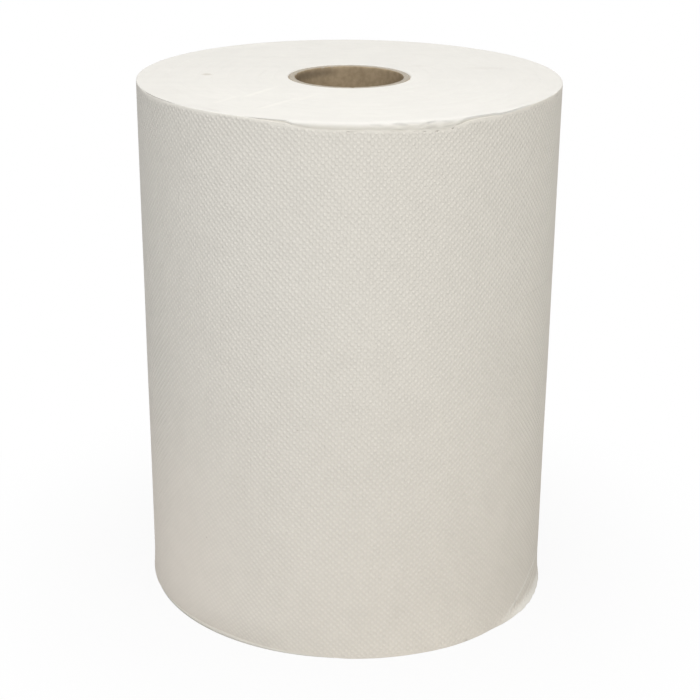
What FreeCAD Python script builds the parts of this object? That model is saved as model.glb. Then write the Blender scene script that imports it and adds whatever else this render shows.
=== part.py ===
import FreeCAD, Part
import math
import os
import Sketcher
from FreeCAD import Vector

# Paper towel roll: one long web of embossed paper, wound hard on a spiral-wound board core.
# It stands on end. Millimetres, +Z up along the winding axis, origin at the centre of the lower end face.
# The front is -Y, and the loose end of the web is behind, at +Y.

doc = FreeCAD.newDocument("paper_towel_roll")

# Driving dimensions, one row each: alias, value in millimetres, what it sets
DRIVING_SIZES = [
    ("web_width", 254.0, "width of the paper web, which is the height of the standing roll"),
    ("roll_diameter", 199.0, "outside diameter over the loose end of the web"),
    ("core_bore", 51.0, "inside diameter of the board core, for a dispenser's spindle"),
    ("core_wall", 3.0, "thickness of the core's board"),
    ("core_edge_bevel", 0.5, "softened cut edge of the core, inside and outside"),
    ("tail_step", 0.4, "thickness of the last embossed turn, a step where the web ends"),
    ("rim_bevel", 1.2, "softened outer edge of each end face"),
    ("mouth_bevel", 0.7, "softened inner edge of each end face, where the paper meets the core"),
    ("turn_pitch", 7.2, "distance between the turn lines that show on the end faces"),
    ("turn_line_width", 0.9, "width of one turn line at the end face"),
    ("turn_line_depth", 0.4, "depth of one turn line"),
    ("core_to_first_line", 3.4, "from the core's outside to the start of the turn line"),
    ("last_line_to_rim", 7.0, "least distance from the rim to the outer end of the turn line"),
]

sizes = doc.addObject("Spreadsheet::Sheet", "sizes")
for row, (alias, length, note) in enumerate(DRIVING_SIZES, start=1):
    sizes.set("A%d" % row, alias)
    sizes.set("B%d" % row, str(length))
    sizes.set("C%d" % row, note)
    sizes.setAlias("B%d" % row, alias)
doc.recompute()

# Places that more than one piece or feature shares, in terms of the driving dimensions
END_FACE = "sizes.web_width / 2"  # from the middle of the web to either end face
RIM_RADIUS = "sizes.roll_diameter / 2"
CORE_RADIUS = "sizes.core_bore / 2 + sizes.core_wall"  # the core's outside, and the paper's inside
FIRST_LINE_RADIUS = CORE_RADIUS + " + sizes.core_to_first_line"

CUT_MARGIN = 2.0  # how far a cutting profile stands clear of the solid that it cuts
X_AXIS, Y_AXIS = -1, -2  # a sketch's own axes, as constraints number them
START, END, CENTRE = 1, 2, 3  # the points of a line or arc, as constraints number them


def value(expression):
    """What an expression comes to with the sheet's present sizes."""
    return float(doc.sizes.evalExpression(expression))


def origin_feature(body, role):
    """One of the body's own origin planes or axes."""
    return next(feature for feature in body.Origin.OriginFeatures if feature.Role == role)


def new_body(name):
    body = doc.addObject("PartDesign::Body", name)
    body.Label = name
    return body


def new_sketch(body, name, plane):
    sketch = body.newObject("Sketcher::SketchObject", name)
    sketch.AttachmentSupport = [(origin_feature(body, plane), "")]
    sketch.MapMode = "FlatFace"
    return sketch


def bind(sketch, name, kind, places, expression):
    """Adds a named dimension to a sketch and ties it to the sheet."""
    index = sketch.addConstraint(Sketcher.Constraint(kind, *places, value(expression)))
    sketch.renameConstraint(index, name)
    sketch.setExpression("Constraints." + name, expression)


def add_circle(sketch, name, radius):
    """A circle round the sketch's origin."""
    circle = sketch.addGeometry(Part.Circle(Vector(0, 0, 0), Vector(0, 0, 1), value(radius)))
    sketch.addConstraint(Sketcher.Constraint("Coincident", circle, CENTRE, X_AXIS, START))
    bind(sketch, name, "Radius", (circle,), radius)


def add_half_circle(sketch, centre, radius, start_degrees):
    """A half circle, counter-clockwise from its start."""
    circle = Part.Circle(centre, Vector(0, 0, 1), radius)
    start = math.radians(start_degrees)
    return sketch.addGeometry(Part.ArcOfCircle(circle, start, start + math.pi))


def add_polygon(sketch, corners):
    """Straight sides through the corners in order, each joined to the next, and the last to the first."""
    following = corners[1:] + corners[:1]
    sides = [sketch.addGeometry(Part.LineSegment(corner, after)) for corner, after in zip(corners, following)]
    for side, after in zip(sides, sides[1:] + sides[:1]):
        sketch.addConstraint(Sketcher.Constraint("Coincident", side, END, after, START))
    return sides


def pad_web_width(body, name, sketch):
    """A pad of the whole web width, half of it to each side of the sketch."""
    pad = body.newObject("PartDesign::Pad", name)
    pad.Profile = sketch
    pad.SideType = "Symmetric"
    pad.setExpression("Length", "sizes.web_width")
    return pad


def stand_on_end(body):
    """Each body is built about the middle of the web, and lifted so that its lower end is at zero."""
    body.setExpression(".Placement.Base.z", END_FACE)


# Board core: a straight tube, cut off square, with its cut edges a little worn
def make_core_tube():
    body = new_body("core_tube")
    section = new_sketch(body, "core_section", "XY_Plane")
    add_circle(section, "bore", "sizes.core_bore / 2")
    add_circle(section, "outside", CORE_RADIUS)
    tube = pad_web_width(body, "tube", section)
    doc.recompute()

    worn = body.newObject("PartDesign::Chamfer", "worn_edges")
    cut_edges = [
        "Edge%d" % number
        for number, edge in enumerate(tube.Shape.Edges, start=1)
        if isinstance(edge.Curve, Part.Circle) and edge.isClosed()
    ]
    worn.Base = (tube, cut_edges)
    worn.setExpression("Size", "min(sizes.core_edge_bevel; sizes.core_wall * 0.4)")
    stand_on_end(body)
    return body


# Wound web, seen along its axis: two half circles that grow by one sheet in a turn, and a step at the web's end
def draw_wound_section(body):
    section = new_sketch(body, "wound_section", "XY_Plane")
    rim = value(RIM_RADIUS)
    step = value("sizes.tail_step")
    left = add_half_circle(section, Vector(0, -step / 4, 0), rim - step * 3 / 4, 90)
    right = add_half_circle(section, Vector(0, step / 4, 0), rim - step / 4, 270)
    web_end = section.addGeometry(Part.LineSegment(Vector(0, rim, 0), Vector(0, rim - step, 0)))
    for side, after in ((left, right), (right, web_end), (web_end, left)):
        section.addConstraint(Sketcher.Constraint("Coincident", side, END, after, START))
    for half, point in ((left, CENTRE), (left, START), (left, END), (right, CENTRE), (right, END)):
        section.addConstraint(Sketcher.Constraint("PointOnObject", half, point, Y_AXIS))
    bind(section, "left_centre", "DistanceY", (left, CENTRE, X_AXIS, START), "sizes.tail_step / 4")
    bind(section, "left_radius", "Radius", (left,), RIM_RADIUS + " - sizes.tail_step * 3 / 4")
    bind(section, "right_radius", "Radius", (right,), RIM_RADIUS + " - sizes.tail_step / 4")
    add_circle(section, "core_seat", CORE_RADIUS)
    return section


# What is turned away at the upper end, to soften the rim, and the mouth where the paper meets the core
def draw_edge_softening(body):
    section = new_sketch(body, "edge_softening", "XZ_Plane")
    draw_bevel(section, "rim", RIM_RADIUS, "sizes.rim_bevel", True)
    draw_bevel(section, "mouth", CORE_RADIUS, "sizes.mouth_bevel", False)
    return section


def draw_bevel(section, name, edge, bevel, faces_out):
    """A closed profile above and beside one bevelled edge, on its outer side or its inner side."""
    top = value(END_FACE)
    out = 1 if faces_out else -1
    on_top = value(edge) - out * value(bevel)
    clear = value(edge) + out * CUT_MARGIN
    low = top - value(bevel)
    corners = [
        Vector(on_top, top, 0),
        Vector(on_top, top + CUT_MARGIN, 0),
        Vector(clear, top + CUT_MARGIN, 0),
        Vector(clear, low, 0),
        Vector(value(edge), low, 0),
    ]
    rise, across, down, back, slope = add_polygon(section, corners)
    for upright in (rise, down):
        section.addConstraint(Sketcher.Constraint("Vertical", upright))
    for level in (across, back):
        section.addConstraint(Sketcher.Constraint("Horizontal", level))
    left, right = (END, START) if faces_out else (START, END)
    section.addConstraint(Sketcher.Constraint("DistanceX", back, left, back, right, CUT_MARGIN))
    section.addConstraint(Sketcher.Constraint("DistanceY", rise, START, rise, END, CUT_MARGIN))
    bind(section, name + "_across", "DistanceX", (slope, left, slope, right), bevel)
    bind(section, name + "_down", "DistanceY", (slope, START, slope, END), bevel)
    bind(section, name + "_radius", "DistanceX", (X_AXIS, START, slope, START), edge)
    bind(section, name + "_end_face", "DistanceY", (X_AXIS, START, rise, START), END_FACE)


# Path of the turn line on the upper end face: half circles about two centres, each half a pitch larger
def draw_turn_line_path(body):
    path = new_sketch(body, "turn_line_path", "XY_Plane")
    path.setExpression(".AttachmentOffset.Base.z", END_FACE)
    pitch = value("sizes.turn_pitch")
    first = value(FIRST_LINE_RADIUS)
    room = value(RIM_RADIUS + " - sizes.last_line_to_rim") - first
    previous = None
    for half_turn in range(int(room / (pitch / 2))):
        side = -1 if half_turn % 2 == 0 else 1
        radius = first + pitch / 4 + half_turn * pitch / 2
        turn = add_half_circle(path, Vector(side * pitch / 4, 0, 0), radius, 90 + side * 90)
        path.addConstraint(Sketcher.Constraint("PointOnObject", turn, CENTRE, X_AXIS))
        path.addConstraint(Sketcher.Constraint("PointOnObject", turn, END, X_AXIS))
        bind(path, "half_turn_%d" % half_turn, "Radius", (turn,),
             FIRST_LINE_RADIUS + " + sizes.turn_pitch * %s" % (0.25 + 0.5 * half_turn))
        if previous is None:
            path.addConstraint(Sketcher.Constraint("PointOnObject", turn, START, X_AXIS))
            bind(path, "first_line", "DistanceX", (X_AXIS, START, turn, START), FIRST_LINE_RADIUS)
        else:
            path.addConstraint(Sketcher.Constraint("Coincident", previous, END, turn, START))
        previous = turn
    return path


# Section of the turn line where it starts: a shallow V, open above the end face
def draw_turn_line_section(body):
    section = new_sketch(body, "turn_line_section", "XZ_Plane")
    top = value(END_FACE)
    middle = value(FIRST_LINE_RADIUS)
    half_width = value("sizes.turn_line_width / 2")
    corners = [
        Vector(middle, top - value("sizes.turn_line_depth"), 0),
        Vector(middle + half_width, top, 0),
        Vector(middle + half_width, top + CUT_MARGIN, 0),
        Vector(middle - half_width, top + CUT_MARGIN, 0),
        Vector(middle - half_width, top, 0),
    ]
    outer_slope, outer_wall, lid, inner_wall, inner_slope = add_polygon(section, corners)
    section.addConstraint(Sketcher.Constraint("Vertical", outer_wall))
    section.addConstraint(Sketcher.Constraint("Vertical", inner_wall))
    section.addConstraint(Sketcher.Constraint("Horizontal", lid))
    section.addConstraint(Sketcher.Constraint("Equal", outer_slope, inner_slope))
    section.addConstraint(Sketcher.Constraint("DistanceY", outer_wall, START, outer_wall, END, CUT_MARGIN))
    bind(section, "width", "DistanceX", (inner_slope, START, outer_slope, END), "sizes.turn_line_width")
    bind(section, "depth", "DistanceY", (outer_slope, START, outer_slope, END), "sizes.turn_line_depth")
    bind(section, "radius", "DistanceX", (X_AXIS, START, outer_slope, START), FIRST_LINE_RADIUS)
    bind(section, "end_face", "DistanceY", (X_AXIS, START, outer_slope, END), END_FACE)
    return section


# Wound web: the whole winding is one solid, with its turns drawn as one spiral line on each end face
def make_towel_winding():
    body = new_body("towel_winding")
    winding = pad_web_width(body, "winding", draw_wound_section(body))

    softening = draw_edge_softening(body)
    softened = body.newObject("PartDesign::Groove", "softened_edges")
    softened.Profile = softening
    softened.ReferenceAxis = (origin_feature(body, "Z_Axis"), [""])
    softened.Angle = 360

    path = draw_turn_line_path(body)
    section = draw_turn_line_section(body)
    doc.recompute()
    turn_line = body.newObject("PartDesign::SubtractivePipe", "turn_line")
    turn_line.Profile = section
    turn_line.Spine = (path, ["Edge%d" % number for number in range(1, len(path.Shape.Edges) + 1)])

    other_end = body.newObject("PartDesign::Mirrored", "other_end")
    other_end.Originals = [softened, turn_line]
    other_end.MirrorPlane = (origin_feature(body, "XY_Plane"), [""])
    body.Tip = other_end
    stand_on_end(body)
    doc.recompute()
    check_that_each_cuts((winding, softened, turn_line, other_end))
    return body


def check_that_each_cuts(features):
    """Each feature has to leave less than the one before it."""
    for before, after in zip(features, features[1:]):
        if not after.Shape.Volume < before.Shape.Volume:
            raise RuntimeError(after.Name + " cuts nothing")


def check_bodies(bodies):
    """Nothing is written if an object failed, or a body isn't one sound solid."""
    failed = [item.Name for item in doc.Objects if {"Invalid", "Error"} & set(item.State)]
    if failed:
        raise RuntimeError("these objects failed: " + ", ".join(failed))
    for body in bodies:
        if body.Shape.isNull() or not body.Shape.isValid() or len(body.Shape.Solids) != 1:
            raise RuntimeError(body.Label + " isn't one sound solid")


bodies = [make_core_tube(), make_towel_winding()]
doc.recompute()
check_bodies(bodies)

os.makedirs("parts", exist_ok=True)
for body in bodies:
    body.Shape.exportStep(os.path.join("parts", body.Label + ".step"))
    print(body.Label, "volume", round(body.Shape.Volume, 1), "faces", len(body.Shape.Faces))
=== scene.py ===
import math

import bmesh
import bpy
from mathutils import Matrix, Vector, noise


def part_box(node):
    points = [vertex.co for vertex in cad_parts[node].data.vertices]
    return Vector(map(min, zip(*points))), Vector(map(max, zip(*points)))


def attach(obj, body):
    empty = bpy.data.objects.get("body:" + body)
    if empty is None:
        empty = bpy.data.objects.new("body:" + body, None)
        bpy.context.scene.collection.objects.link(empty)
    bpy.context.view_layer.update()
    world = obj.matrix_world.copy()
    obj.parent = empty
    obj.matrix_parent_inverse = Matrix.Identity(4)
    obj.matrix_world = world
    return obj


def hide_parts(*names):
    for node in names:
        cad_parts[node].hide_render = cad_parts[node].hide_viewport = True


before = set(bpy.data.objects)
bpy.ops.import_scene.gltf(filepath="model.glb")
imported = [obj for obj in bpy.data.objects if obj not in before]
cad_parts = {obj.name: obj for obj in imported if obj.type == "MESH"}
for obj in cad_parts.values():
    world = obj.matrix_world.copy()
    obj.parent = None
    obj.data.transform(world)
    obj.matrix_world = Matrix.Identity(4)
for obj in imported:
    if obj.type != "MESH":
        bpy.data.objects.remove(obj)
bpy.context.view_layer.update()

# A roll of embossed paper towel on its board core, standing on end.
# Shapes are worked out in millimetres and turned to metres when a piece is finished.
# Angles are in degrees round the roll: 0 is the front (-Y), 90 the right (+X), 180 the loose end.

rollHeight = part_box("towel_winding")[1].z * 1000
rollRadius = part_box("towel_winding")[1].y * 1000
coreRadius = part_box("core_tube")[1].x * 1000


def ease(share):
    share = min(max(share, 0.0), 1.0)
    return share * share * (3 - 2 * share)


# 1 from start to end, with a soft edge outside both
def between(x, start, end, soft):
    return ease((x - start + soft) / soft) * ease((end + soft - x) / soft)


def alongTable(table, x):
    if x <= table[0][0]:
        return table[0][1]
    for (x0, y0), (x1, y1) in zip(table, table[1:]):
        if x <= x1:
            return y0 + (y1 - y0) * (x - x0) / (x1 - x0)
    return table[-1][1]


def ripple(x, y, z, size):
    return noise.noise(Vector((x / size, y / size, z / size)))


def onRoll(angle, radius, height):
    turn = math.radians(angle)
    return Vector((radius * math.sin(turn), -radius * math.cos(turn), height))


def finishPiece(bm, name, materials):
    bmesh.ops.scale(bm, vec=(0.001, 0.001, 0.001), verts=bm.verts)
    mesh = bpy.data.meshes.new(name)
    bm.to_mesh(mesh)
    bm.free()
    for material in materials:
        mesh.materials.append(material)
    piece = bpy.data.objects.new(name, mesh)
    bpy.context.scene.collection.objects.link(piece)
    return piece


# Shader helpers

black = (0.0, 0.0, 0.0, 1.0)


def feed(tree, socket, value):
    if isinstance(value, bpy.types.NodeSocket):
        tree.links.new(value, socket)
    else:
        socket.default_value = value


def addNode(tree, kind, inputs=None, **settings):
    node = tree.nodes.new(kind)
    for name, setting in settings.items():
        setattr(node, name, setting)
    for name, value in (inputs or {}).items():
        feed(tree, node.inputs[name], value)
    return node


def calc(tree, operation, first, second=0.0, clamp=False):
    inputs = {0: first, 1: second}
    return addNode(tree, "ShaderNodeMath", inputs, operation=operation, use_clamp=clamp).outputs[0]


def vectorCalc(tree, operation, first, second=(0.0, 0.0, 0.0), output="Vector"):
    inputs = {0: first, 1: second}
    return addNode(tree, "ShaderNodeVectorMath", inputs, operation=operation).outputs[output]


# the sum of several values, each times its own share
def weigh(tree, *pairs):
    total = 0.0
    for value, share in pairs:
        total = calc(tree, "ADD", calc(tree, "MULTIPLY", value, share), total)
    return total


def fadeMap(tree, value, low, high, toLow=0.0, toHigh=1.0):
    inputs = {"Value": value, "From Min": low, "From Max": high, "To Min": toLow, "To Max": toHigh}
    return addNode(tree, "ShaderNodeMapRange", inputs, interpolation_type="SMOOTHSTEP").outputs["Result"]


def mixColours(tree, share, first, second, blend="MIX"):
    inputs = {0: share, 6: first, 7: second}
    return addNode(tree, "ShaderNodeMix", inputs, data_type="RGBA", blend_type=blend).outputs[2]


def addNoise(tree, place, scale, detail, roughness=0.5, distortion=0.0):
    inputs = {"Vector": place, "Scale": scale, "Detail": detail}
    inputs.update({"Roughness": roughness, "Distortion": distortion})
    return addNode(tree, "ShaderNodeTexNoise", inputs).outputs["Fac"]


def addBump(tree, height, distance, under=None):
    inputs = {"Height": height, "Distance": distance}
    if under is not None:
        inputs["Normal"] = under
    return addNode(tree, "ShaderNodeBump", inputs).outputs["Normal"]


# a place on the object, as one vector and as its three parts
def objectPlace(tree):
    position = addNode(tree, "ShaderNodeTexCoord").outputs["Object"]
    return position, addNode(tree, "ShaderNodeSeparateXYZ", {0: position}).outputs


# the same place on a round skin laid flat: the way round it and the height, in metres
def unrollPlace(tree, parts, radius):
    facing = calc(tree, "ARCTAN2", parts["X"], calc(tree, "MULTIPLY", parts["Y"], -1.0))
    around = calc(tree, "MULTIPLY", facing, radius * 0.001)
    return addNode(tree, "ShaderNodeCombineXYZ", {0: around, 1: parts["Z"]}).outputs[0]


# folds given by angle and height, with both ends put on that flat skin
def layFlat(folds, radius, base=0.0, way=1):
    return [
        (*((math.radians(angle) * radius, base + way * height, 0.0) for angle, height in fold[:2]), *fold[2:])
        for fold in folds
    ]


# 1 for the rays that the eye follows from the camera, straight or by a mirror
def seenByEye(tree):
    path = addNode(tree, "ShaderNodeLightPath").outputs
    seen = calc(tree, "MAXIMUM", path["Is Camera Ray"], path["Is Glossy Ray"])
    return calc(tree, "MAXIMUM", seen, path["Is Transmission Ray"])


def newGroup(name, inputs, outputs):
    group = bpy.data.node_groups.new(name, "ShaderNodeTree")
    for way, sockets in (("INPUT", inputs), ("OUTPUT", outputs)):
        for socketName, kind in sockets.items():
            group.interface.new_socket(socketName, in_out=way, socket_type="NodeSocket" + kind)
    return group, group.nodes.new("NodeGroupInput").outputs, group.nodes.new("NodeGroupOutput").inputs


def useGroup(tree, group, inputs):
    return addNode(tree, "ShaderNodeGroup", inputs, node_tree=group).outputs


def newMaterial(name, roughness, specular):
    material = bpy.data.materials.new(name)
    material.use_nodes = True
    surface = material.node_tree.nodes["Principled BSDF"]
    surface.inputs["Roughness"].default_value = roughness
    surface.inputs["Specular IOR Level"].default_value = specular
    return material, material.node_tree, surface


# Effects that more than one material uses

# Felted fibres: fine height for a bump, and soft clouds of thicker and thinner pulp
def makeFibreGroup():
    group, given, made = newGroup(
        "pulpFibres",
        {"Position": "Vector", "Fibre Scale": "Float", "Cloud Scale": "Float"},
        {"Height": "Float", "Cloud": "Float"},
    )
    fibres = addNoise(group, given["Position"], given["Fibre Scale"], 4.0, roughness=0.6, distortion=0.8)
    clouds = addNoise(group, given["Position"], given["Cloud Scale"], 5.0, roughness=0.55)
    group.links.new(fibres, made["Height"])
    group.links.new(fadeMap(group, clouds, 0.3, 0.7), made["Cloud"])
    return group


def fibresAt(tree, position, scales):
    fibreScale, cloudScale = scales
    inputs = {"Position": position, "Fibre Scale": fibreScale, "Cloud Scale": cloudScale}
    return useGroup(tree, fibreGroup, inputs)


# A soft-edged spot at one place, stretched as Size says
def makeSpotGroup():
    group, given, made = newGroup(
        "softSpot", {"Position": "Vector", "Centre": "Vector", "Size": "Vector"}, {"Mask": "Float"}
    )
    wobble = addNoise(group, given["Position"], 900.0, 2.0)
    offset = vectorCalc(group, "SUBTRACT", given["Position"], given["Centre"])
    away = vectorCalc(group, "LENGTH", vectorCalc(group, "DIVIDE", offset, given["Size"]), output="Value")
    uneven = calc(group, "MULTIPLY", away, calc(group, "ADD", wobble, 0.5))
    group.links.new(fadeMap(group, uneven, 0.3, 1.1, 1.0, 0.0), made["Mask"])
    return group


# Edges of many thin layers seen end on: lines round the roll's axis, broken here and there
def makeLayerGroup():
    group, given, made = newGroup(
        "layerEdges",
        {"Position": "Vector", "Layer Scale": "Float", "Breaks": "Float"},
        {"Lines": "Float", "Bands": "Float"},
    )
    flat = vectorCalc(group, "MULTIPLY", given["Position"], (1.0, 1.0, 0.0))
    radius = vectorCalc(group, "LENGTH", flat, output="Value")
    heading = addNode(group, "ShaderNodeSeparateXYZ", {0: vectorCalc(group, "NORMALIZE", flat)}).outputs
    bandScale = calc(group, "MULTIPLY", given["Layer Scale"], 0.14)
    for name, scale, detail in (("Lines", given["Layer Scale"], 3.0), ("Bands", bandScale, 2.0)):
        place = addNode(group, "ShaderNodeCombineXYZ", {
            0: calc(group, "MULTIPLY", radius, scale),
            1: calc(group, "MULTIPLY", heading["X"], given["Breaks"]),
            2: calc(group, "MULTIPLY", heading["Y"], given["Breaks"]),
        }).outputs[0]
        group.links.new(fadeMap(group, addNoise(group, place, 1.0, detail), 0.25, 0.75), made[name])
    return group


def layersAt(tree, position, layerScale, breaks):
    inputs = {"Position": position, "Layer Scale": layerScale, "Breaks": breaks}
    return useGroup(tree, layerGroup, inputs)


# A thin fold between two places, that starts thin and ends faint
def makeFoldGroup():
    group, given, made = newGroup(
        "thinFold",
        {"Position": "Vector", "Start": "Vector", "End": "Vector", "Width": "Float"},
        {"Mask": "Float"},
    )
    along = vectorCalc(group, "SUBTRACT", given["End"], given["Start"])
    toPlace = vectorCalc(group, "SUBTRACT", given["Position"], given["Start"])
    reached = vectorCalc(group, "DOT_PRODUCT", toPlace, along, output="Value")
    squared = vectorCalc(group, "DOT_PRODUCT", along, along, output="Value")
    share = calc(group, "DIVIDE", reached, squared, clamp=True)
    nearest = addNode(group, "ShaderNodeVectorMath", {0: along, "Scale": share}, operation="SCALE").outputs[0]
    away = vectorCalc(group, "DISTANCE", toPlace, nearest, output="Value")
    inWidths = calc(group, "DIVIDE", away, given["Width"])
    start, end = fadeMap(group, share, 0.0, 0.25), fadeMap(group, share, 0.75, 1.0, 1.0, 0.3)
    across = fadeMap(group, inWidths, 0.0, 1.0, 1.0, 0.0)
    mask = calc(group, "MULTIPLY", across, calc(group, "MULTIPLY", start, end))
    group.links.new(mask, made["Mask"])
    return group


fibreGroup = makeFibreGroup()
spotGroup = makeSpotGroup()
foldGroup = makeFoldGroup()
layerGroup = makeLayerGroup()


def addSpots(tree, position, spots, colour, stain):
    for place, size, strength in spots:
        centre = tuple(part * 0.001 for part in place)
        spread = tuple(part * 0.001 for part in size)
        mask = useGroup(tree, spotGroup, {"Position": position, "Centre": centre, "Size": spread})["Mask"]
        colour = mixColours(tree, calc(tree, "MULTIPLY", mask, strength), colour, stain)
    return colour


# thin folds: how far they rise, and painted highlight or painted shade along them
def addFolds(tree, position, folds, colour):
    foldPaintedHighlight, foldPaintedShade = (0.98, 0.955, 0.890, 1.0), (0.10, 0.08, 0.06, 1.0)
    rises, lights = 0.0, 0.0
    for start, end, width, rise, light in folds:
        ends = [tuple(part * 0.001 for part in place) for place in (start, end)]
        places = {"Position": position, "Start": ends[0], "End": ends[1], "Width": width * 0.001}
        mask = useGroup(tree, foldGroup, places)["Mask"]
        rises = calc(tree, "ADD", calc(tree, "MULTIPLY", mask, rise), rises)
        lights = calc(tree, "ADD", calc(tree, "MULTIPLY", mask, light), lights)
    lighter = calc(tree, "MULTIPLY", lights, 1.0, clamp=True)
    darker = calc(tree, "MULTIPLY", lights, -1.0, clamp=True)
    return rises, mixColours(tree, darker, mixColours(tree, lighter, colour, foldPaintedHighlight), foldPaintedShade)


foldDistance = 0.001        # folds give their rise in mm


# The paper

sidePaper = {
    "colour": (0.905, 0.874, 0.805, 1.0),      # creamy white, unbleached a little
    "footShadeColour": (0.842, 0.799, 0.725, 1.0),  # painted shade: a touch darker and warmer towards the foot
    "rightWarmLightColour": (1.0, 0.983, 0.955, 1.0),    # painted warm light: a warmer tint towards the right
    "paintedGroundShade": 0.078,                      # how much darker the paper is between the dots
    "dotRange": (-0.35, 0.9),                  # painted shade in the hollows between the dots
    "dotHeight": 0.00030,                      # metres, for the rounded dots
    "footDots": 0.58,                          # how much of the dots is left at the foot
    "cornerDots": 0.40,                        # and of those at the lower left, which also lessens the painted shade between them
    # painted light: a lighter, warmer patch at the lower left, to lift the shade at the foot there
    "cornerLightColour": (0.900, 0.842, 0.760, 1.0),
    "cornerHeights": (0.02, 0.13),             # metres: where the corner is full, and where it ends
    "cornerSides": (-0.088, -0.030),
    "fibres": (1500.0, 90.0),                  # how fine the fibres are, and the clouds
    "patches": (400.0, 16.0),
    "fibreHeight": 0.00003,
    "cloudShade": 0.022,
    "stain": (0.30, 0.24, 0.17, 1.0),
    "specks": (                                # angle, height in mm, size in mm, how dark
        (-12.7, 115.0, (0.7, 0.7, 0.5), 0.30),
        (5.2, 126.0, (0.6, 0.6, 0.5), 0.25),
        (-41.5, 50.0, (0.7, 0.7, 0.5), 0.30),
        (-41.0, 22.0, (0.6, 0.6, 0.4), 0.25),
        (-12.0, 4.0, (0.8, 0.8, 0.5), 0.25),
    ),
    "folds": (                                 # angle and height of both ends, width and rise in mm, painted highlight (above 0) or painted shade (below 0)
        ((85.0, 16.5), (66.0, 13.0), 1.5, 0.30, 0.40),
        ((70.0, 14.2), (50.5, 1.5), 1.5, 0.30, 0.40),
        ((80.0, 12.0), (52.5, 1.0), 1.5, 0.0, -0.05),
        ((78.0, 9.5), (60.0, 1.5), 1.2, 0.20, 0.20),
        # painted highlight along the bent-out edge of the foot
        ((84.0, 1.6), (50.0, 0.8), 2.9, 0.0, 0.62),
        ((75.0, 165.0), (54.0, 165.6), 0.9, 0.12, -0.05),
    ),
}


def makeSidePaper():
    material, tree, surface = newMaterial("embossedTowelPaper", 0.88, 0.25)
    cells = addNode(tree, "ShaderNodeUVMap", uv_map="embossCells").outputs["UV"]
    pressed = addNode(tree, "ShaderNodeAttribute", attribute_name="embossing").outputs["Fac"]
    cell = addNode(tree, "ShaderNodeSeparateXYZ", {0: cells}).outputs
    along = calc(tree, "COSINE", calc(tree, "MULTIPLY", cell["X"], math.pi))
    up = calc(tree, "COSINE", calc(tree, "MULTIPLY", cell["Y"], math.pi))
    dots = fadeMap(tree, calc(tree, "MULTIPLY", along, up), *sidePaper["dotRange"])
    position, parts = objectPlace(tree)
    worn = fadeMap(tree, parts["Z"], 0.0, rollHeight * 0.001 * 0.75, sidePaper["footDots"], 1.0)
    lowPart = fadeMap(tree, parts["Z"], *sidePaper["cornerHeights"], 1.0, 0.0)
    leftPart = fadeMap(tree, parts["X"], *sidePaper["cornerSides"], 1.0, 0.0)
    corner = calc(tree, "MULTIPLY", lowPart, leftPart)
    kept = calc(tree, "SUBTRACT", 1.0, calc(tree, "MULTIPLY", corner, 1 - sidePaper["cornerDots"]))
    pressed = calc(tree, "MULTIPLY", calc(tree, "MULTIPLY", pressed, worn), kept)
    dots = calc(tree, "MULTIPLY", dots, pressed)
    fibres = fibresAt(tree, position, sidePaper["fibres"])
    patches = fibresAt(tree, position, sidePaper["patches"])

    # painted shade: the side darker and warmer towards the foot
    low = fadeMap(tree, parts["Z"], 0.0, rollHeight * 0.001 * 0.85, 1.0, 0.0)
    colour = mixColours(tree, low, sidePaper["colour"], sidePaper["footShadeColour"])
    # painted warm light: a warmer tint towards the right side
    right = fadeMap(tree, parts["X"], -rollRadius * 0.001, rollRadius * 0.001)
    colour = mixColours(tree, right, colour, sidePaper["rightWarmLightColour"], "MULTIPLY")
    # painted light: a lighter patch at the lower left
    colour = mixColours(tree, corner, colour, sidePaper["cornerLightColour"])
    shade = weigh(
        tree,
        (fibres["Cloud"], sidePaper["cloudShade"]),
        (patches["Cloud"], sidePaper["cloudShade"]),
        # painted shade in the hollows between the dots
        (calc(tree, "SUBTRACT", pressed, dots, clamp=True), sidePaper["paintedGroundShade"]),
    )
    colour = mixColours(tree, shade, colour, black)
    specks = [(onRoll(angle, rollRadius, height), *rest) for angle, height, *rest in sidePaper["specks"]]
    colour = addSpots(tree, position, specks, colour, sidePaper["stain"])
    unrolled = unrollPlace(tree, parts, rollRadius)
    # painted highlight and painted shade along the folds
    rises, colour = addFolds(tree, unrolled, layFlat(sidePaper["folds"], rollRadius), colour)
    tree.links.new(colour, surface.inputs["Base Color"])

    grain = addBump(tree, fibres["Height"], sidePaper["fibreHeight"])
    folded = addBump(tree, rises, foldDistance, grain)
    tree.links.new(addBump(tree, dots, sidePaper["dotHeight"], folded), surface.inputs["Normal"])
    return material


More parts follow.
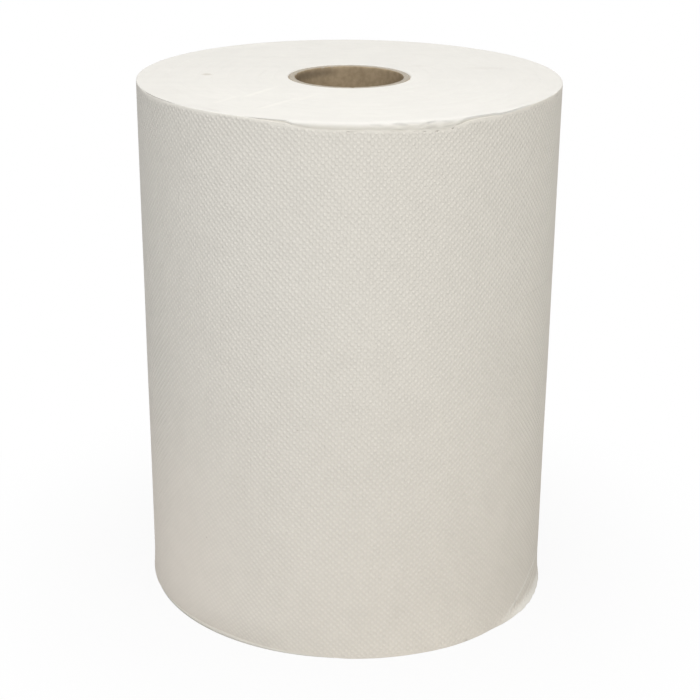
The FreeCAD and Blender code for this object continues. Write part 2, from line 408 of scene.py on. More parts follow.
endPaper = {
    "colour": (0.886, 0.865, 0.814, 1.0),
    "lipWarmShadeColour": (1.0, 0.985, 0.945, 1.0),     # painted warm shade where the rim is crushed down
    "lipRange": (2.5, 0.3),                    # mm below the end face, where that is full and where it starts
    "paintedFarShade": 0.045,                         # painted shade: a little darker away from the front edge
    "farRange": (0.02, 0.14),                  # metres from that edge
    "frontEdge": -0.075,
    "layers": (2600.0, 9.0),                   # how fine the layers' edges are, and how often they break
    "lineShade": 0.010,
    "bandShade": 0.013,
    "lineHeight": 0.00002,
    "fibres": (2200.0, 45.0),
    "fibreHeight": 0.00003,
    "cloudShade": 0.02,
    "sawShade": 0.012,                         # faint marks of the saw that cut the roll to length
    "sawHeight": 0.6,                          # as a share of a line's height
    "sawTurn": 60.0,
    "sawScale": (6.0, 120.0, 1.0),
    "sawSides": (-0.03, 0.03),                 # metres: full on the left, and this share on the right
    "sawRight": 0.25,
    "sawLines": (                              # x, y and height of both ends, width and rise in mm, painted highlight (above 0) or painted shade (below 0)
        ((-47.8, -52.1, rollHeight), (-33.6, -27.4, rollHeight), 2.2, 0.06, 0.34),
        ((-49.4, -51.2, rollHeight), (-35.2, -26.5, rollHeight), 1.6, 0.0, -0.02),
        ((-39.8, -76.5, rollHeight), (-21.6, -49.0, rollHeight), 2.2, 0.06, 0.30),
        ((-41.4, -75.6, rollHeight), (-23.2, -48.1, rollHeight), 1.6, 0.0, -0.02),
        ((-60.0, -66.0, rollHeight), (-47.0, -44.0, rollHeight), 2.2, 0.04, 0.20),
        ((-26.0, -62.0, rollHeight), (-12.0, -38.0, rollHeight), 2.2, 0.04, 0.16),
    ),
    "wrinkles": (                              # on the crushed rim, by angle and depth, otherwise the same; painted shade in the wrinkles
        ((10.0, 0.9), (14.5, 1.7), 0.9, -0.20, -0.12),
        ((13.5, 0.5), (17.5, 1.2), 0.8, -0.18, -0.12),
        ((16.5, 2.2), (20.0, 1.1), 0.8, -0.15, -0.08),
        ((18.5, 1.5), (22.0, 0.5), 0.9, -0.22, -0.16),
        ((21.0, 0.4), (24.5, 1.1), 0.8, -0.18, -0.12),
        ((4.5, 1.0), (8.0, 1.6), 0.8, -0.12, -0.06),
        ((23.0, 2.2), (26.5, 1.5), 0.8, -0.12, -0.06),
    ),
    "stain": (0.36, 0.28, 0.18, 1.0),
    "stains": (                                # x, y, height, size, all in mm, and how strong
        ((-66.9, 1.5, rollHeight), (3.0, 3.2, 2.0), 0.30),
        ((65.4, 22.1, rollHeight), (12.0, 4.5, 3.0), 0.05),
        ((33.2, 26.0, rollHeight), (5.0, 3.0, 3.0), 0.05),
    ),
}


def makeEndPaper():
    material, tree, surface = newMaterial("cutTowelPaper", 0.92, 0.2)
    position, parts = objectPlace(tree)
    layers = layersAt(tree, position, *endPaper["layers"])
    fibres = fibresAt(tree, position, endPaper["fibres"])
    turn = (0.0, 0.0, math.radians(-endPaper["sawTurn"]))
    turning = {"Vector": position, "Rotation": turn, "Scale": endPaper["sawScale"]}
    turned = addNode(tree, "ShaderNodeMapping", turning).outputs[0]
    sawn = fadeMap(tree, addNoise(tree, turned, 1.0, 3.0, distortion=0.6), 0.4, 0.65)
    leftPart = fadeMap(tree, parts["X"], *endPaper["sawSides"], 1.0, endPaper["sawRight"])
    saw = calc(tree, "MULTIPLY", sawn, leftPart)
    front = (0.0, endPaper["frontEdge"], rollHeight * 0.001)
    away = vectorCalc(tree, "DISTANCE", position, front, output="Value")

    shade = weigh(
        tree,
        (layers["Lines"], endPaper["lineShade"]),
        (layers["Bands"], endPaper["bandShade"]),
        (saw, endPaper["sawShade"]),
        # painted shade away from the front edge
        (fadeMap(tree, away, *endPaper["farRange"]), endPaper["paintedFarShade"]),
        (fibres["Cloud"], endPaper["cloudShade"]),
    )
    colour = mixColours(tree, shade, endPaper["colour"], black)
    # painted warm shade on the crushed rim
    full, start = ((rollHeight - below) * 0.001 for below in endPaper["lipRange"])
    lipShadeShare = fadeMap(tree, parts["Z"], full, start, 1.0, 0.0)
    colour = mixColours(tree, lipShadeShare, colour, endPaper["lipWarmShadeColour"], "MULTIPLY")
    colour = addSpots(tree, position, endPaper["stains"], colour, endPaper["stain"])
    folds = list(endPaper["sawLines"])
    for *ends, width, rise, light in endPaper["wrinkles"]:
        places = (tuple(onRoll(angle, rollRadius, rollHeight - below)) for angle, below in ends)
        folds.append((*places, width, rise, light))
    # painted highlight along the saw lines, painted shade in the wrinkles
    rises, colour = addFolds(tree, position, folds, colour)
    tree.links.new(colour, surface.inputs["Base Color"])

    grain = addBump(tree, fibres["Height"], endPaper["fibreHeight"])
    folded = addBump(tree, rises, foldDistance, grain)
    edges = calc(tree, "ADD", layers["Lines"], calc(tree, "MULTIPLY", saw, endPaper["sawHeight"]))
    tree.links.new(addBump(tree, edges, endPaper["lineHeight"], folded), surface.inputs["Normal"])
    return material


# The winding: one long web of paper

winding = {
    "tailStep": 0.4,        # one turn of embossed paper
    "tailLift": 0.35,       # how far the loose end stands off
    "tailLoose": 15.0,      # length of the loose end
    "paper": 0.25,
    "crevice": 3.0,         # depth of the shadow gap under the loose end
    "creviceFloor": 0.04,   # above the turn below
    "creviceFade": 6.0,     # it closes over this length towards both ends
    "edge": 0.5,            # where the embossed side ends and the rim begins
}
emboss = {
    "columns": 428,         # half repeats round the roll
    "rowStep": 1.4765,      # half a repeat up the roll
    "driftRows": 14,        # rows that the pattern slips in one turn
    "lean": 0.0213,         # the columns lean this much
    "leanFade": 60.0,       # and stand straight again this near the web's end
    "rise": 0.07,
    "fade": 0.6,            # the dots fade out over this length at an edge
    "snap": 0.4,            # a row this near an edge moves onto it
    "merge": 0.38,
    "lipZone": 8.0,         # rows this near the end face may meet the lip
    "lipSnap": 0.3,
    "lipMerge": 0.05,
}
wear = {
    "lip": (                # angle, how far the rim is crushed down over the outer turn
        (-74, 0.0), (-66, 0.35), (-52, 0.35), (-42, 0.0), (-28, 0.0), (-24, 0.35), (-18, 0.8), (-15, 1.2),
        (-11, 2.2), (-6, 2.8), (4, 2.8), (12, 3.2), (22, 3.7), (25, 3.5), (27.5, 2.7), (31, 1.6), (34, 1.3),
        (40, 1.1), (50, 0.6), (60, 0.0),
    ),
    "fullLip": 1.2,         # the depth at which the rim has its full lip
    "lipRipple": 0.12,
    "slits": (              # where the outer turn stands away from the lip
        {"from": -23.0, "to": -17.0, "soft": 4.0, "gap": 0.34},
        {"from": 30.0, "to": 38.0, "soft": 4.0, "gap": 0.14},
        {"from": -64.0, "to": -54.0, "soft": 8.0, "gap": 0.16},
    ),
    "fullSlit": 0.22,       # the gap at which a slit has its full shape
    "slitReach": 12.0,      # it narrows away over this height
    "crumple": {"from": 10.0, "to": 27.0, "soft": 5.0, "calm": 0.10, "rough": 0.42},
    "waves": {"height": 0.12, "size": 45.0},
    "footSpread": (         # angle, how far the foot stands out, little by little
        (-135, 0.0), (-85, 0.7), (-74, 0.1), (-65, -0.9), (-45, -1.7), (-35, -1.9), (-20, -1.2), (-8, -0.6),
        (0, 0.4), (10, 1.0), (20, 1.5), (30, 2.2), (40, 2.1), (50, 1.5), (60, 0.9), (75, 0.5), (130, 0.0),
    ),
    "footReach": ((-20, 14.0), (0, 20.0), (30, 24.0), (60, 14.0), (110, 14.0)),
    "footCurve": 1.5,
    "liftReach": 12.0,
    "footLift": ((-75, 0.0), (-60, 0.5), (-45, 1.0), (-35, 1.2), (-22, 0.8), (-8, 0.4), (2, 0.0)),
    "flare": {              # a short stretch where the edge is bent out and pleated
        "spread": ((44, 0.0), (52, 1.7), (60, 2.6), (70, 2.1), (79, 1.1), (86, 0.0)),
        "reach": 3.6,
        "curve": 1.3,
        "pleats": 0.22,
    },
}
endFace = {
    "firstLine": 31.9,      # the turn line's radius where it starts, at the right
    "lastLine": 89.5,
    "pitch": 7.2,
    "lineDepth": 0.09,
    "lineShares": (0.0, 0.07, 0.25, 0.5, 0.75, 0.93, 1.0),
    "steps": 120,           # in one turn
    "runIn": 1.4,           # turns of the strip before the line starts
    "lineFade": 1.5,
    "outer": 96.0,
    "mouth": 29.2,
    "between": 60.0,        # a radius between the two
    "mouthEdge": ((0.3, 0.2), (0.04, 0.8)),     # outside the core, and below the end face
    "dip": 0.05,            # the face is a little uneven: so far below its plane, with fine and broad waves
    "fineDip": 0.10,
    "broadDip": 0.06,
}
girth = 2 * math.pi * (rollRadius - winding["tailStep"] / 2)


def turnRadius(angle):
    return rollRadius - winding["tailStep"] * (0.5 - angle / 360)


# how far below the end face the outer turn's edge lies, where the rim is crushed down over it
def lipDepth(angle):
    depth = alongTable(wear["lip"], angle)
    return depth * (1 + wear["lipRipple"] * ripple(angle, 3.0, 0.0, 3.5))


# where the outer turn's plain side ends under the lip
def lipBorder(angle):
    depth = lipDepth(angle)
    return depth + winding["edge"] + 0.45 * ease(depth / wear["fullLip"])


def slitGap(angle):
    return max(slit["gap"] * between(angle, slit["from"], slit["to"], slit["soft"]) for slit in wear["slits"])


# how far a place on the outer turn has moved outward and upward
def sideWear(angle, height):
    below = rollHeight - height
    waves, curve, flare = wear["waves"], wear["footCurve"], wear["flare"]
    out = waves["height"] * ripple(*onRoll(angle, rollRadius, height), waves["size"])
    up = 0.0
    if below < wear["slitReach"]:
        out += slitGap(angle) * ease(1 - below / wear["slitReach"])
    reach = alongTable(wear["footReach"], angle)
    if height < reach:
        out += alongTable(wear["footSpread"], angle) * (1 - height / reach) ** curve
    if height < flare["reach"]:
        pleated = 1 + flare["pleats"] * ripple(angle, 4.0, 0.0, 1.9)
        out += alongTable(flare["spread"], angle) * pleated * (1 - height / flare["reach"]) ** flare["curve"]
    if height < wear["liftReach"]:
        up += alongTable(wear["footLift"], angle) * (1 - height / wear["liftReach"]) ** curve
    return out, up


# how far a place stands out as part of a dot, or in between dots
def dotRise(v, marks):
    pattern = math.cos(math.pi * v[marks["column"]]) * math.cos(math.pi * v[marks["row"]])
    return emboss["rise"] * pattern * v[marks["embossing"]]


def makeSheet(bm, marks):
    columns, rowStep = emboss["columns"], emboss["rowStep"]
    drift = emboss["driftRows"] * rowStep
    rows = 2 * math.ceil((rollHeight + drift) / rowStep / 2) + 2
    bmesh.ops.create_grid(bm, x_segments=columns, y_segments=rows, size=0.5)
    for v in bm.verts:
        column = round((v.co.x + 0.5) * columns)
        row = round((v.co.y + 0.5) * rows)
        height = rollHeight / 2 + (row - rows / 2) * rowStep - drift * (column / columns - 0.5)
        around = girth * (column / columns - 0.5)
        straighten = ease(min(column, columns - column) * girth / columns / emboss["leanFade"])
        v[marks["column"]], v[marks["row"]] = column, row
        v.co = (around + emboss["lean"] * (height - rollHeight / 2) * straighten, 0, height)
    edge, snap = winding["edge"], emboss["snap"]
    for limit, way in ((rollHeight - edge, 1), (edge, -1)):
        everything = bm.verts[:] + bm.edges[:] + bm.faces[:]
        plane = {"plane_co": (0, 0, limit), "plane_no": (0, 0, way)}
        bmesh.ops.bisect_plane(bm, geom=everything, dist=0.01, clear_outer=True, **plane)
        nearLimit = [v for v in bm.verts if abs(v.co.z - limit) < snap]
        bmesh.ops.remove_doubles(bm, verts=nearLimit, dist=emboss["merge"])
        for v in bm.verts:
            if abs(v.co.z - limit) < snap:
                v.co.z = limit
    near = [v for v in bm.verts if v.co.z > rollHeight - emboss["lipZone"]]
    limits = {v: rollHeight - lipBorder(v.co.x / girth * 360) for v in near}
    for v in near:
        if v.co.z > limits[v] - emboss["lipSnap"]:
            v[marks["row"]] -= (v.co.z - limits[v]) / rowStep
            v.co.z = limits[v]
    bmesh.ops.remove_doubles(bm, verts=near, dist=emboss["lipMerge"])
    for v in bm.verts:
        toLip = limits[v] - v.co.z if v in limits else emboss["lipZone"]
        fade = ease(min(v.co.z - edge, rollHeight - edge - v.co.z, toLip) / emboss["fade"])
        v[marks["embossing"]] = fade
        v.co.y = dotRise(v, marks)
        loose = ease(1 - (girth / 2 - v.co.x) / winding["tailLoose"])
        v.co.y += winding["tailLift"] * loose ** 2
        v[marks["unrolled"]] = v.co.x
    quads = [f for f in bm.faces if len(f.verts) == 4]
    oneWay = [f for f in quads if f.verts[0].co.y < 0]
    otherWay = [f for f in quads if f.verts[0].co.y >= 0]
    rest = [f for f in bm.faces if len(f.verts) > 4]
    for faces, method in ((oneWay, "FIXED"), (otherWay, "ALTERNATE"), (rest, "BEAUTY")):
        bmesh.ops.triangulate(bm, faces=faces, quad_method=method)


def extrudeRing(bm, edges):
    made = bmesh.ops.extrude_edge_only(bm, edges=edges)["geom"]
    verts = {g for g in made if isinstance(g, bmesh.types.BMVert)}
    ring = [g for g in made if isinstance(g, bmesh.types.BMEdge) and verts.issuperset(g.verts)]
    faces = [g for g in made if isinstance(g, bmesh.types.BMFace)]
    return verts, ring, faces


# the cut end of the web, with a thin shadow gap under it: each row of verts has a share of the gap's depth,
# a distance outward and a shift on the flat map
def makeTail(bm, marks):
    lastColumn = emboss["columns"] - 0.01
    edges = [e for e in bm.edges if e.is_boundary and all(v[marks["column"]] > lastColumn for v in e.verts)]
    step, edge = winding["tailStep"], winding["edge"]
    underside = winding["tailLift"] - winding["paper"]
    floor = winding["creviceFloor"] - step
    for back, out, shift in ((0, underside, 0.4), (1, floor, 3.4), (0, -step, 3.2)):
        verts, edges, faces = extrudeRing(bm, edges)
        for v in verts:
            inside = ease(min(v.co.z - edge, rollHeight - edge - v.co.z) / winding["creviceFade"])
            v.co.x = girth / 2 - back * winding["crevice"] * inside
            v.co.y = out + dotRise(v, marks)
            v[marks["unrolled"]] += shift


def markSheet(bm, marks):
    for face in bm.faces:
        for loop in face.loops:
            v = loop.vert
            loop[marks["cells"]].uv = (v[marks["column"]], v[marks["row"]])
            loop[marks["bake"]].uv = stripPlace(v[marks["unrolled"]], v.co.z)


# where the side, the ends and the bore lie on the flat map, and how large
flatMap = {
    "strip": {"corner": (0.008, 0.01), "scale": 0.00155, "below": 3.0, "rim": 0.7},
    "ends": {"scale": 0.00235, "upper": (0.25, 0.68), "lower": (0.75, 0.68)},
    "bore": {"corner": (0.02, 0.957), "aroundScale": 0.06, "upScale": 0.00011, "before": 3.2},
}


def stripPlace(around, height):
    strip = flatMap["strip"]
    across = (around + girth / 2) * strip["scale"]
    return (across + strip["corner"][0], (height + strip["below"]) * strip["scale"] + strip["corner"][1])


def wrapSheet(bm, marks):
    for v in bm.verts:
        angle = v.co.x / girth * 360
        plain = turnRadius(angle) + v.co.y
        out, up = sideWear(angle, v.co.z)
        v[marks["angle"]], v[marks["plain"]] = angle, plain
        v.co = onRoll(angle, plain + out, v.co.z + up)
    seam = [v for v in bm.verts if abs(abs(v[marks["angle"]]) - 180) < 3 and v.is_boundary]
    bmesh.ops.remove_doubles(bm, verts=seam, dist=0.06)


# The rings from the outer turn's edge, over the gap behind it, to the level end face.
# Each has a distance inward and one downward, with a share of the slit's gap and of the lip's depth.
rims = {
    "plain": ((0.03, 0.35), (0.08, 0.12), (0.20, 0.06), (0.27, 0.14), (0.33, 0.08), (0.42, 0.0), (0.8, 0.0),
              (1.3, 0.0), (1.9, 0.0), (2.6, 0.0)),
    "lip": ((0.03, 0.80, 0, 1), (0.10, 0.55, 0, 1), (0.20, 0.35, 0, 1), (0.14, 0.10, 0, 1),
            (-0.06, -0.10, 0, 1), (-0.20, -0.45, 0, 1), (-0.16, 0.0, 0, 0.55), (0.14, 0.0, 0, 0.24),
            (0.95, 0.0, 0, 0.06), (2.6, 0.0)),
    "slit": ((0.03, 0.35, -1, 1), (0.06, 0.06, -1, 1), (0.20, 0.0, -1, 1), (0.30, 4.0, 0.4, 1),
             (0.70, 0.5, 0.8, 0.5), (0.36, 0.03), (0.8, 0.0), (1.3, 0.0), (1.9, 0.0), (2.6, 0.0)),
}
rimRings = {"upper": range(10), "lower": (0, 1, 2, 5, 7, 9)}


def ringPlace(number, upper, angle, plain):
    circle = rollRadius - winding["tailStep"] / 2
    toCircle = ease(number / 6)
    plain += (circle - plain) * toCircle
    depth, gap = (lipDepth(angle), slitGap(angle)) if upper else (0.0, 0.0)
    slit = ease(gap / wear["fullSlit"])
    lip = ease(depth / wear["fullLip"]) * (1 - slit)
    inward, below = 0.0, 0.0
    for name, share in (("plain", 1 - lip - slit), ("lip", lip), ("slit", slit)):
        away, down, gapShare, depthShare = (*rims[name][number], 0, 0)[:4]
        inward += share * (away + gapShare * gap)
        below += share * (down + depthShare * depth)
    if upper:
        if 3 < number < 9:
            crumple = wear["crumple"]
            rough = crumple["rough"] * between(angle, crumple["from"], crumple["to"], crumple["soft"])
            rough = lip * (rough + crumple["calm"])
            inward += rough * ripple(angle, number * 1.9, 5.0, 2.6)
            below += rough * ripple(angle, number * 1.9, 9.0, 2.2)
        return onRoll(angle, plain - inward, rollHeight - max(below, 0))
    out, up = sideWear(angle, below)
    return onRoll(angle, plain - inward + out * (1 - toCircle), below + up * (1 - toCircle))


def makeRim(bm, marks, upper):
    middle = rollHeight / 2
    rimStep = flatMap["strip"]["rim"] * flatMap["strip"]["scale"] * (1 if upper else -1)
    edges = [e for e in bm.edges if e.is_boundary and (e.verts[0].co.z > middle) == upper]
    for number in rimRings["upper" if upper else "lower"]:
        verts, ring, faces = extrudeRing(bm, edges)
        for v in verts:
            v[marks["embossing"]] = 0
            v.co = ringPlace(number, upper, v[marks["angle"]], v[marks["plain"]])
        for face in faces:
            face.material_index = 0 if number < 2 else 1
            base = next(e for e in face.edges if not any(v in verts for v in e.verts))
            beside = next(f for f in base.link_faces if f is not face)
            known = {loop.vert: loop for loop in beside.loops}
            for loop in face.loops:
                source = loop.vert
                if source in verts:
                    neighbours = (e.other_vert(source) for e in source.link_edges)
                    source = next(v for v in neighbours if v in known)
                loop[marks["cells"]].uv = known[source][marks["cells"]].uv
                across, up = known[source][marks["bake"]].uv
                if loop.vert in verts:
                    up += rimStep
                loop[marks["bake"]].uv = (across, up)
        edges = ring
    return edges


# how far the end face lies below its plane
def endDip(x, y, radius):
    fine = endFace["fineDip"] * ripple(radius * 5, x * 0.4, y * 0.4, 9.0)
    broad = endFace["broadDip"] * ripple(x, y, 7.0, 30.0)
    return max(endFace["dip"] + fine + broad, 0)


# the end of the winding: a strip that runs round and round between the turn lines
def makeEndFace(bm, marks, upper, rimEdges):
    steps, pitch, shares = endFace["steps"], endFace["pitch"], endFace["lineShares"]
    firstLine, lastLine = endFace["firstLine"], endFace["lastLine"]
    first = -math.ceil(endFace["runIn"] * steps)
    last = math.ceil((endFace["outer"] - firstLine) / pitch * steps) + 1
    across = len(shares) - 1
    grid = bmesh.ops.create_grid(bm, x_segments=last - first, y_segments=across, size=0.5)["verts"]
    for v in grid:
        step = first + round((v.co.x + 0.5) * (last - first))
        lane = round((v.co.y + 0.5) * across)
        line = firstLine + pitch * step / steps
        radius = min(max(line + pitch * shares[lane], endFace["mouth"]), endFace["outer"])
        turn = 2 * math.pi * (step % steps) / steps
        x, y = radius * math.cos(turn), radius * math.sin(turn)
        dip = endDip(x, y, radius)
        if lane in (0, across):
            dip += endFace["lineDepth"] * between(radius, firstLine, lastLine, endFace["lineFade"])
        if radius in (endFace["mouth"], endFace["outer"]):
            dip = 0
        v.co = (x, y, rollHeight - dip if upper else dip)
        v[marks["embossing"]] = 0
    bmesh.ops.remove_doubles(bm, verts=grid, dist=0.01)
    grid = [v for v in grid if v.is_valid]
    for face in {f for v in grid for f in v.link_faces}:
        face.material_index = 1
    border = [e for e in {e for v in grid for e in v.link_edges} if e.is_boundary]
    rimSide = [e for e in border if e.verts[0].co.xy.length > endFace["between"]]
    mouth = [e for e in border if e.verts[0].co.xy.length < endFace["between"]]
    joined = bmesh.ops.bridge_loops(bm, edges=rimEdges + rimSide)["faces"]
    for face in joined:
        face.material_index = 1
    for outside, below in endFace["mouthEdge"]:
        verts, mouth, faces = extrudeRing(bm, mouth)
        for v in verts:
            v.co.xy = v.co.xy.normalized() * (coreRadius + outside)
            v.co.z = rollHeight - below if upper else below
        for face in faces:
            face.material_index = 1
    return mouth


def borePlace(place, middle):
    bore = flatMap["bore"]
    turn, towards = math.atan2(place.y, place.x), math.atan2(middle.y, middle.x)
    turn += 2 * math.pi * round((towards - turn) / (2 * math.pi))
    across = (turn + bore["before"]) * bore["aroundScale"]
    return (bore["corner"][0] + across, bore["corner"][1] + place.z * bore["upScale"])


def endPlace(place, middle):
    ends = flatMap["ends"]
    centre = ends["upper" if middle.z > rollHeight / 2 else "lower"]
    return (centre[0] + place.x * ends["scale"], centre[1] + place.y * ends["scale"])


def mapEnds(bm, marks, boreFaces):
    for face in bm.faces:
        if face.material_index != 1:
            continue
        middle = face.calc_center_median()
        mapped = borePlace if face in boreFaces else endPlace
        for loop in face.loops:
            loop[marks["cells"]].uv = (0, 0)
            loop[marks["bake"]].uv = mapped(loop.vert.co, middle)


def reportMesh(name, bm):
    triangles = sum(len(f.verts) - 2 for f in bm.faces)
    looseEdges = sum(1 for e in bm.edges if not e.is_manifold)
    print(name + ":", triangles, "triangles,", looseEdges, "open edges")


def buildWinding(materials):
    bm = bmesh.new()
    scratch = ("column", "row", "unrolled", "angle", "plain")
    marks = {name: bm.verts.layers.float.new(name) for name in (*scratch, "embossing")}
    marks["bake"] = bm.loops.layers.uv.new("OFBake")
    marks["cells"] = bm.loops.layers.uv.new("embossCells")
    makeSheet(bm, marks)
    makeTail(bm, marks)
    markSheet(bm, marks)
    wrapSheet(bm, marks)
    print("side sheet wrapped:", len(bm.faces), "faces")
    mouths = []
    for upper in (True, False):
        rimEdges = makeRim(bm, marks, upper)
        mouths += makeEndFace(bm, marks, upper, rimEdges)
    boreFaces = set(bmesh.ops.bridge_loops(bm, edges=mouths)["faces"])
    for face in boreFaces:
        face.material_index = 1
    mapEnds(bm, marks, boreFaces)
    bmesh.ops.recalc_face_normals(bm, faces=bm.faces)
    for face in bm.faces:
        face.smooth = True
    for name in scratch:
        bm.verts.layers.float.remove(bm.verts.layers.float[name])
    reportMesh("winding", bm)
    return finishPiece(bm, "towel_winding_paper", materials)


# The board core

core = {
    "bore": coreRadius - 3.0,       # inside a wall of 3 mm
    "steps": 180,           # round the tube
    "wallSteps": 24,
    "wallEdge": 2.0,
    "outerSteps": 6,
    "fuzz": 0.10,           # how rough the cut edge is
    "fuzzDepth": 1.5,       # and how far down and inward that goes
    "fuzzWidth": 1.9,
    "fuzzSizes": (1.1, 3.5),
    "nick": {"angle": 3.6, "half": 2.2, "depth": 0.8},
}


def buildCore(materials):
    bm = bmesh.new()
    inner, outer = core["bore"], coreRadius - 0.02
    cutRing = (
        (outer, 0.9), (outer - 0.12, 0.25), (outer - 0.5, 0.06), (outer - 1.1, 0.0), (outer - 1.9, 0.0),
        (outer - 2.5, 0.06), (inner + 0.14, 0.22), (inner, 0.7),
    )
    wallSteps, wallEdge, outerSteps = core["wallSteps"], core["wallEdge"], core["outerSteps"]
    wallTop, wallLength = rollHeight - wallEdge, rollHeight - 2 * wallEdge
    profile = [(radius, rollHeight - below) for radius, below in cutRing]
    profile += [(inner, wallTop - wallLength * n / wallSteps) for n in range(wallSteps + 1)]
    profile += [(radius, below) for radius, below in reversed(cutRing)]
    profile += [(outer, rollHeight * n / outerSteps) for n in range(1, outerSteps)]
    verts = [bm.verts.new((0, -radius, height)) for radius, height in profile]
    edges = [bm.edges.new(pair) for pair in zip(verts, verts[1:] + verts[:1])]
    around = {"cent": (0, 0, 0), "axis": (0, 0, 1), "dvec": (0, 0, 0), "angle": 2 * math.pi}
    bmesh.ops.spin(bm, geom=verts + edges, steps=core["steps"], use_merge=True, use_duplicate=False, **around)
    bmesh.ops.remove_doubles(bm, verts=bm.verts, dist=0.001)
    nick = core["nick"]
    for v in bm.verts:
        radius = v.co.xy.length
        angle = math.degrees(math.atan2(v.co.x, -v.co.y))
        below = min(v.co.z, rollHeight - v.co.z)
        upper = v.co.z > rollHeight / 2
        frayed = ease(1 - below / core["fuzzDepth"])
        fine, broad = (ripple(*v.co, size) for size in core["fuzzSizes"])
        rough = fine + 0.5 * broad
        inside = ease(1 - (radius - inner) / core["fuzzWidth"])
        change = core["fuzz"] * rough * frayed * inside
        drop = core["fuzz"] * (0.7 + rough) * frayed
        if upper:
            chip = ease(1 - abs(angle - nick["angle"]) / nick["half"]) * inside * frayed
            change += 0.5 * nick["depth"] * chip
            drop += nick["depth"] * chip
        v.co.xy *= (radius + change) / radius
        v.co.z += -drop if upper else drop
    bmesh.ops.recalc_face_normals(bm, faces=bm.faces)
    for face in bm.faces:
        face.smooth = True
        middle = face.calc_center_median()
        below = min(middle.z, rollHeight - middle.z)
        face.material_index = 1 if below < 0.5 and middle.xy.length > inner + 0.05 else 0
    reportMesh("core", bm)
    return finishPiece(bm, "core_board_tube", materials)


board = {
    "wall": (0.545, 0.430, 0.285, 1.0),
    "wallDark": (0.380, 0.292, 0.188, 1.0),
    "cut": (0.570, 0.520, 0.440, 1.0),
    "cutDark": (0.420, 0.365, 0.290, 1.0),
    "fibres": (1100.0, 420.0),                 # how fine the fibres are, and the clouds
    "patches": (600.0, 60.0),
    "cutFibres": (1800.0, 500.0),
    "layers": (3200.0, 6.0),
    "seamPitch": 0.118,                        # metres that a ply's seam climbs in one turn
    "seamWidth": 0.012,                        # as a share of that
    "wallHeight": 0.0001,                      # metres, for the bumps
    "seamHeight": 0.0002,
    "cutHeight": 0.00015,
    "edgeShadowAndHighlight": (                             # angle and depth of both ends, width and rise in mm, painted highlight (above 0) or painted shade (below 0)
        # painted shadow under the cut edge, on the upper left of the wall
        ((-172.0, 3.0), (-88.0, 3.2), 3.0, 0.0, -0.42),
        # painted highlight on a torn ply end
        ((-100.0, 2.4), (-97.0, 3.8), 1.6, 0.2, 0.60),
    ),
}


def makeBoardWall():
    material, tree, surface = newMaterial("coreBoardWall", 0.85, 0.3)
    position, parts = objectPlace(tree)
    fibres = fibresAt(tree, position, board["fibres"])
    patches = fibresAt(tree, position, board["patches"])
    turn = calc(tree, "DIVIDE", calc(tree, "ARCTAN2", parts["Y"], parts["X"]), 2 * math.pi)
    rise = calc(tree, "DIVIDE", parts["Z"], board["seamPitch"])
    seam = calc(tree, "FRACT", calc(tree, "ADD", rise, turn))
    ply = fadeMap(tree, seam, 0.0, board["seamWidth"])
    mix = weigh(tree, (fibres["Cloud"], 0.6), (patches["Cloud"], 0.4))
    colour = mixColours(tree, mix, board["wall"], board["wallDark"])
    beside = calc(tree, "MULTIPLY", calc(tree, "SUBTRACT", 1.0, ply), 0.5)
    colour = mixColours(tree, beside, colour, board["wallDark"])
    unrolled = unrollPlace(tree, parts, core["bore"])
    # painted shadow under the cut edge and a painted highlight on a torn ply end
    edgeShadowAndHighlight = layFlat(board["edgeShadowAndHighlight"], core["bore"], rollHeight, -1)
    rises, colour = addFolds(tree, unrolled, edgeShadowAndHighlight, colour)
    tree.links.new(colour, surface.inputs["Base Color"])
    grain = addBump(tree, fibres["Height"], board["wallHeight"])
    marked = addBump(tree, rises, foldDistance, grain)
    tree.links.new(addBump(tree, ply, board["seamHeight"], marked), surface.inputs["Normal"])
    return material


def makeBoardCut():
    material, tree, surface = newMaterial("coreBoardCut", 0.95, 0.15)
    position = objectPlace(tree)[0]
    layers = layersAt(tree, position, *board["layers"])
    fibres = fibresAt(tree, position, board["cutFibres"])
    mix = weigh(tree, (layers["Lines"], 0.45), (fibres["Cloud"], 0.35))
    tree.links.new(mixColours(tree, mix, board["cut"], board["cutDark"]), surface.inputs["Base Color"])
    height = calc(tree, "ADD", layers["Lines"], fibres["Height"])
    tree.links.new(addBump(tree, height, board["cutHeight"]), surface.inputs["Normal"])
    return material


# The room: floor, light and camera

studio = {
    "dome": 0.235,
    "key": {"place": (0.0, -0.3, 2.2), "size": 2.2, "power": 36.5},
    "front": {"place": (0.22, -2.4, 1.1), "size": 1.2, "power": 18.0},
    "aim": (0.0, 0.0, 0.14),
    "floorColour": (0.80, 0.80, 0.80, 1.0),
    "floorShares": (0.90, 1.0),     # how white the floor looks, by the roll and away from it
    "floorRange": (0.09, 0.24),     # metres from the roll's axis
    "floorHalf": 6000,
}
white = (1.0, 1.0, 1.0, 1.0)


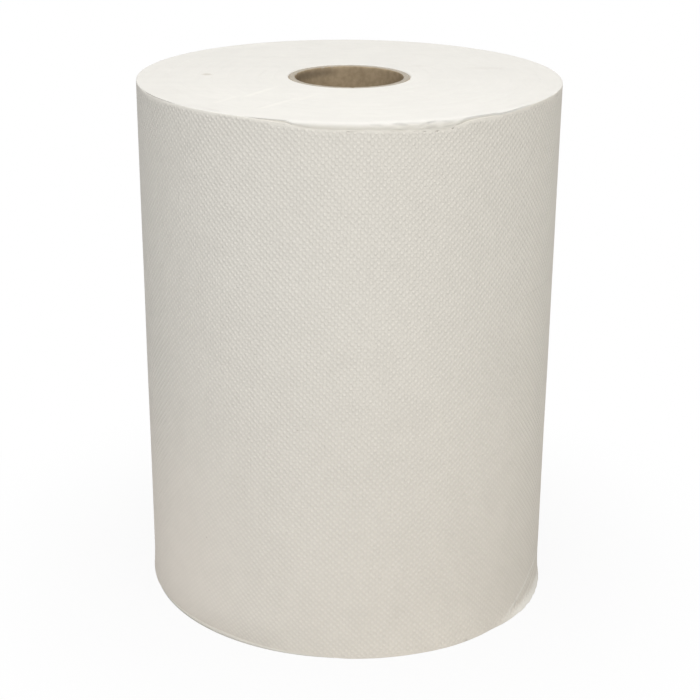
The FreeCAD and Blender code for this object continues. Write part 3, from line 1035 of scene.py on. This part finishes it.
def makeFloor():
    bm = bmesh.new()
    bmesh.ops.create_grid(bm, x_segments=8, y_segments=8, size=studio["floorHalf"])
    material, tree, surface = newMaterial("paleFloor", 0.9, 0.1)
    surface.inputs["Base Color"].default_value = studio["floorColour"]
    away = vectorCalc(tree, "LENGTH", objectPlace(tree)[0], output="Value")
    bright = addNode(tree, "ShaderNodeEmission", {"Color": white, "Strength": 1.0})
    whiteness = fadeMap(tree, away, *studio["floorRange"], *studio["floorShares"])
    share = calc(tree, "MULTIPLY", seenByEye(tree), whiteness)
    mixed = addNode(tree, "ShaderNodeMixShader", {0: share, 1: surface.outputs[0], 2: bright.outputs[0]})
    tree.links.new(mixed.outputs[0], tree.nodes["Material Output"].inputs["Surface"])
    finishPiece(bm, "paleFloor", [material])


# even light from all round, with pure white where the eye meets it
def makeWorld():
    world = bpy.data.worlds.new("softRoom")
    bpy.context.scene.world = world
    world.use_nodes = True
    tree = world.node_tree
    background = tree.nodes["Background"]
    background.inputs["Color"].default_value = white
    extra = calc(tree, "MULTIPLY", seenByEye(tree), 1.0 - studio["dome"])
    tree.links.new(calc(tree, "ADD", extra, studio["dome"]), background.inputs["Strength"])


def makeLamp(name, place, size, power):
    light = bpy.data.lights.new(name, "AREA")
    light.shape, light.size, light.energy = "DISK", size, power
    lamp = bpy.data.objects.new(name, light)
    bpy.context.scene.collection.objects.link(lamp)
    lamp.location = place
    lamp.rotation_euler = (Vector(studio["aim"]) - Vector(place)).to_track_quat("-Z", "Y").to_euler()


camera = {"place": (0.0, -0.7400, 0.3972), "down": 20.771, "turn": 0.101, "roll": 0.429, "lens": 81.46}


def makeCamera():
    data = bpy.data.cameras.new("viewCamera")
    data.sensor_width, data.lens = 36.0, camera["lens"]
    data.clip_start, data.clip_end = 0.05, 50.0
    view = bpy.data.objects.new("viewCamera", data)
    bpy.context.scene.collection.objects.link(view)
    turn = Matrix.Rotation(math.radians(-camera["turn"]), 4, "Z")
    tilt = Matrix.Rotation(math.radians(90 - camera["down"]), 4, "X")
    roll = Matrix.Rotation(math.radians(camera["roll"]), 4, "Z")
    view.matrix_world = Matrix.Translation(camera["place"]) @ turn @ tilt @ roll
    bpy.context.scene.camera = view


makeFloor()
makeWorld()
makeLamp("keySoftbox", **studio["key"])
makeLamp("frontSoftbox", **studio["front"])
makeCamera()
bpy.context.scene.view_settings.view_transform = "Standard"
print("room ready")

windingPiece = buildWinding([makeSidePaper(), makeEndPaper()])
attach(windingPiece, "root")
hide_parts("towel_winding")

corePiece = buildCore([makeBoardWall(), makeBoardCut()])
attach(corePiece, "root")
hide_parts("core_tube")
